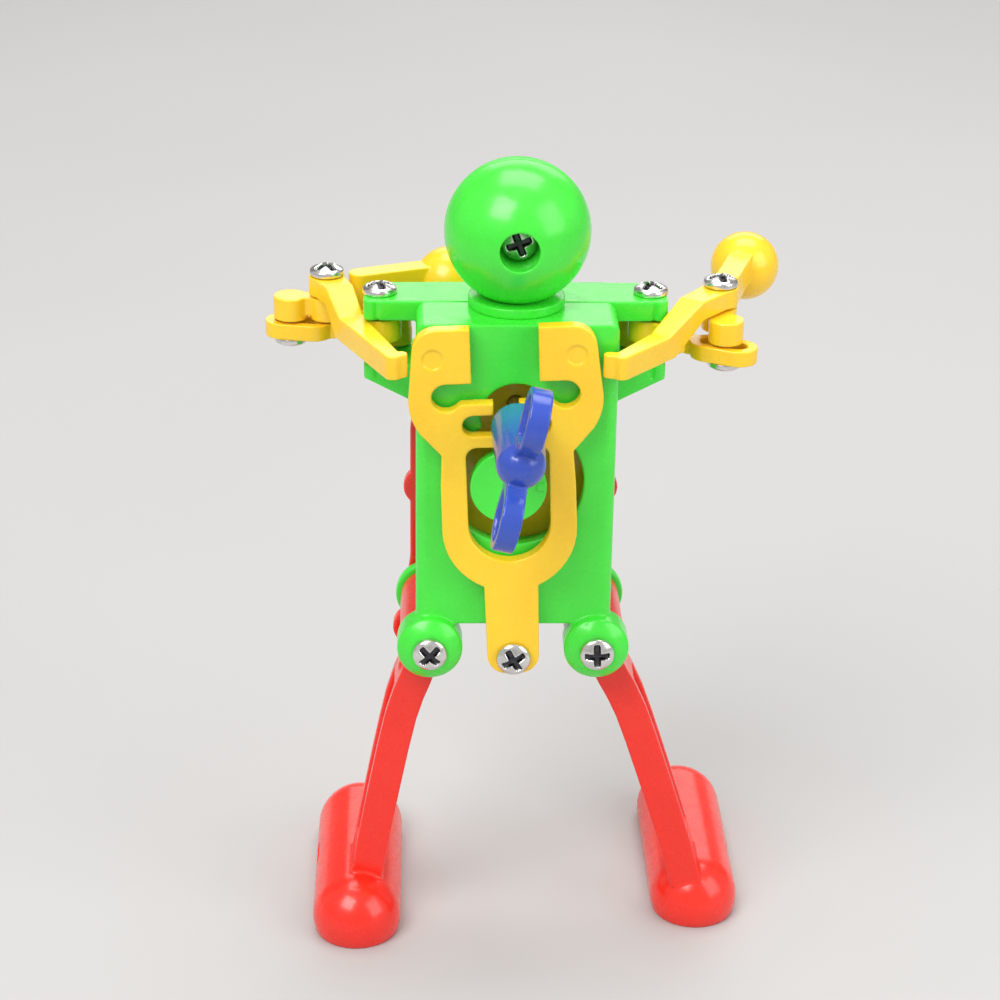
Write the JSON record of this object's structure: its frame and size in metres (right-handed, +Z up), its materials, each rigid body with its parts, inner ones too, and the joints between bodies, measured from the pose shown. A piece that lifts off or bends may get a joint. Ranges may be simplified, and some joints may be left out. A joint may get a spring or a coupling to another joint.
{
  "type": "wind-up dancing robot toy",
  "caption": "Clockwork toy figure: a box body with ball head, jointed arms driven by a rear rocker, legs by a front rocker, and a winding key.",
  "frame": {"origin": "middle of the whole toy on the floor under its soles", "axes": "+Z up, +Y from the winding key towards the front, +X to the right as seen from the key side"},
  "size_m": [0.0694, 0.0572, 0.1093],
  "materials": {
    "green_plastic": "glossy moulding",
    "yellow_plastic": "glossy moulding",
    "red_plastic": "glossy moulding",
    "key_plastic": "slightly see-through glossy moulding",
    "screw_steel": "bright nickel plate",
    "bright_steel": "drawn steel",
    "gear_brass": "stamped brass"
  },
  "bodies": {
    "body": {"rear_cover": "green_plastic", "front_shell": "green_plastic", "neck_post": "green_plastic", "head_back": "green_plastic", "head_front": "green_plastic", "head_screw": "screw_steel", "motor_case_rear": "yellow_plastic", "motor_case_front": "yellow_plastic", "motor_screws": "screw_steel", "mainspring": "bright_steel", "case_screws": "screw_steel", "hip_screws": "screw_steel", "shoulder_screws": "screw_steel", "link_pivot_screws": "screw_steel", "rear_rocker_screw": "screw_steel", "front_rocker_screw": "screw_steel"},
    "winding": {"winding_key": "key_plastic", "winding_arbor": "bright_steel", "great_wheel": "gear_brass"},
    "output": {"output_shaft": "bright_steel", "output_pinion": "gear_brass", "output_wheel": "gear_brass", "rear_crank": "green_plastic", "front_crank": "green_plastic"},
    "governor": {"governor_arbor": "bright_steel", "governor_pinion": "gear_brass", "escape_wheel": "gear_brass"},
    "pallet": {"pallet_lever": "bright_steel"},
    "rear_rocker_body": {"rear_rocker": "yellow_plastic"},
    "rear_roller": {"rear_cam_roller": "green_plastic"},
    "front_rocker_body": {"front_rocker": "red_plastic"},
    "front_roller": {"front_cam_roller": "green_plastic"},
    "left_leg_body": {"left_leg": "red_plastic"},
    "right_leg_body": {"right_leg": "red_plastic"},
    "left_upper_arm_body": {"left_upper_arm": "yellow_plastic"},
    "right_upper_arm_body": {"right_upper_arm": "yellow_plastic"},
    "left_forearm_body": {"left_forearm": "yellow_plastic", "left_elbow_screw": "screw_steel", "left_link_screw": "screw_steel"},
    "right_forearm_body": {"right_forearm": "yellow_plastic", "right_elbow_screw": "screw_steel", "right_link_screw": "screw_steel"},
    "left_link_body": {"left_link": "yellow_plastic"},
    "right_link_body": {"right_link": "yellow_plastic"}
  },
  "joints": [
    {"name": "key_turn", "type": "hinge", "parent": "body", "child": "winding", "pos_m": [-0.00201, -0.00809, 0.0778], "axis": [0, 1, 0], "continuous": true},
    {"name": "output_spin", "type": "hinge", "parent": "body", "child": "output", "pos_m": [-0.00201, -0.00009, 0.0692], "axis": [0, 1, 0], "continuous": true},
    {"name": "governor_spin", "type": "hinge", "parent": "body", "child": "governor", "pos_m": [-0.00614, -0.00009, 0.0633], "axis": [0, 1, 0], "continuous": true},
    {"name": "pallet_rock", "type": "hinge", "parent": "body", "child": "pallet", "pos_m": [-0.00094, 0.00271, 0.0607], "axis": [0, 1, 0], "range_deg": [-4, 4]},
    {"name": "rear_rocker_swing", "type": "hinge", "parent": "body", "child": "rear_rocker_body", "pos_m": [-0.00201, -0.00954, 0.0449], "axis": [0, 1, 0], "range_deg": [0, 4.6]},
    {"name": "rear_roller_spin", "type": "hinge", "parent": "rear_rocker_body", "child": "rear_roller", "pos_m": [-0.00301, -0.00954, 0.06918], "axis": [0, 1, 0], "continuous": true},
    {"name": "front_rocker_swing", "type": "hinge", "parent": "body", "child": "front_rocker_body", "pos_m": [-0.00201, 0.00962, 0.05], "axis": [0, 1, 0], "range_deg": [-2.99, 2.99]},
    {"name": "front_roller_spin", "type": "hinge", "parent": "front_rocker_body", "child": "front_roller", "pos_m": [-0.00201, 0.00962, 0.0702], "axis": [0, 1, 0], "continuous": true},
    {"name": "left_leg_swing", "type": "hinge", "parent": "body", "child": "left_leg_body", "pos_m": [-0.01296, 0.00061, 0.0455], "axis": [0, 1, 0], "range_deg": [-5.18, 5.18]},
    {"name": "right_leg_swing", "type": "hinge", "parent": "body", "child": "right_leg_body", "pos_m": [0.00894, 0.00061, 0.0455], "axis": [0, 1, 0], "range_deg": [-5.18, 5.18]},
    {"name": "left_arm_swing", "type": "hinge", "parent": "body", "child": "left_upper_arm_body", "pos_m": [-0.01946, 0.00386, 0.0857], "axis": [0, 0, 1], "range_deg": [0, 11.98]},
    {"name": "right_arm_swing", "type": "hinge", "parent": "body", "child": "right_upper_arm_body", "pos_m": [0.01544, 0.00386, 0.0857], "axis": [0, 0, 1], "range_deg": [0, 13.73]},
    {"name": "left_elbow_bend", "type": "hinge", "parent": "left_upper_arm_body", "child": "left_forearm_body", "pos_m": [-0.02653, 0.01108, 0.0886], "axis": [0, 0, 1], "range_deg": [0, 17.62]},
    {"name": "right_elbow_bend", "type": "hinge", "parent": "right_upper_arm_body", "child": "right_forearm_body", "pos_m": [0.02489, 0.00743, 0.0886], "axis": [0, 0, 1], "range_deg": [0, 17.62]},
    {"name": "left_link_swing", "type": "hinge", "parent": "body", "child": "left_link_body", "pos_m": [-0.01731, 0.00851, 0.0828], "axis": [0, 0, 1], "range_deg": [0, 16.13]},
    {"name": "right_link_swing", "type": "hinge", "parent": "body", "child": "right_link_body", "pos_m": [0.01329, 0.00851, 0.0828], "axis": [0, 0, 1], "range_deg": [0, 13.88]}
  ],
  "couplings": [
    {"joint": "output_spin", "follows": "key_turn", "ratio": -2.3077},
    {"joint": "governor_spin", "follows": "key_turn", "ratio": 8.0769},
    {"joint": "rear_roller_spin", "follows": "key_turn", "ratio": -2.3077},
    {"joint": "front_roller_spin", "follows": "key_turn", "ratio": -2.3077},
    {"joint": "left_arm_swing", "follows": "rear_rocker_swing", "ratio": 2.6},
    {"joint": "right_arm_swing", "follows": "rear_rocker_swing", "ratio": 2.98},
    {"joint": "left_elbow_bend", "follows": "rear_rocker_swing", "ratio": 3.826},
    {"joint": "right_elbow_bend", "follows": "rear_rocker_swing", "ratio": 3.826},
    {"joint": "left_link_swing", "follows": "rear_rocker_swing", "ratio": 3.503},
    {"joint": "right_link_swing", "follows": "rear_rocker_swing", "ratio": 3.013},
    {"joint": "left_leg_swing", "follows": "front_rocker_swing", "ratio": 1.726},
    {"joint": "right_leg_swing", "follows": "front_rocker_swing", "ratio": 1.726}
  ]
}
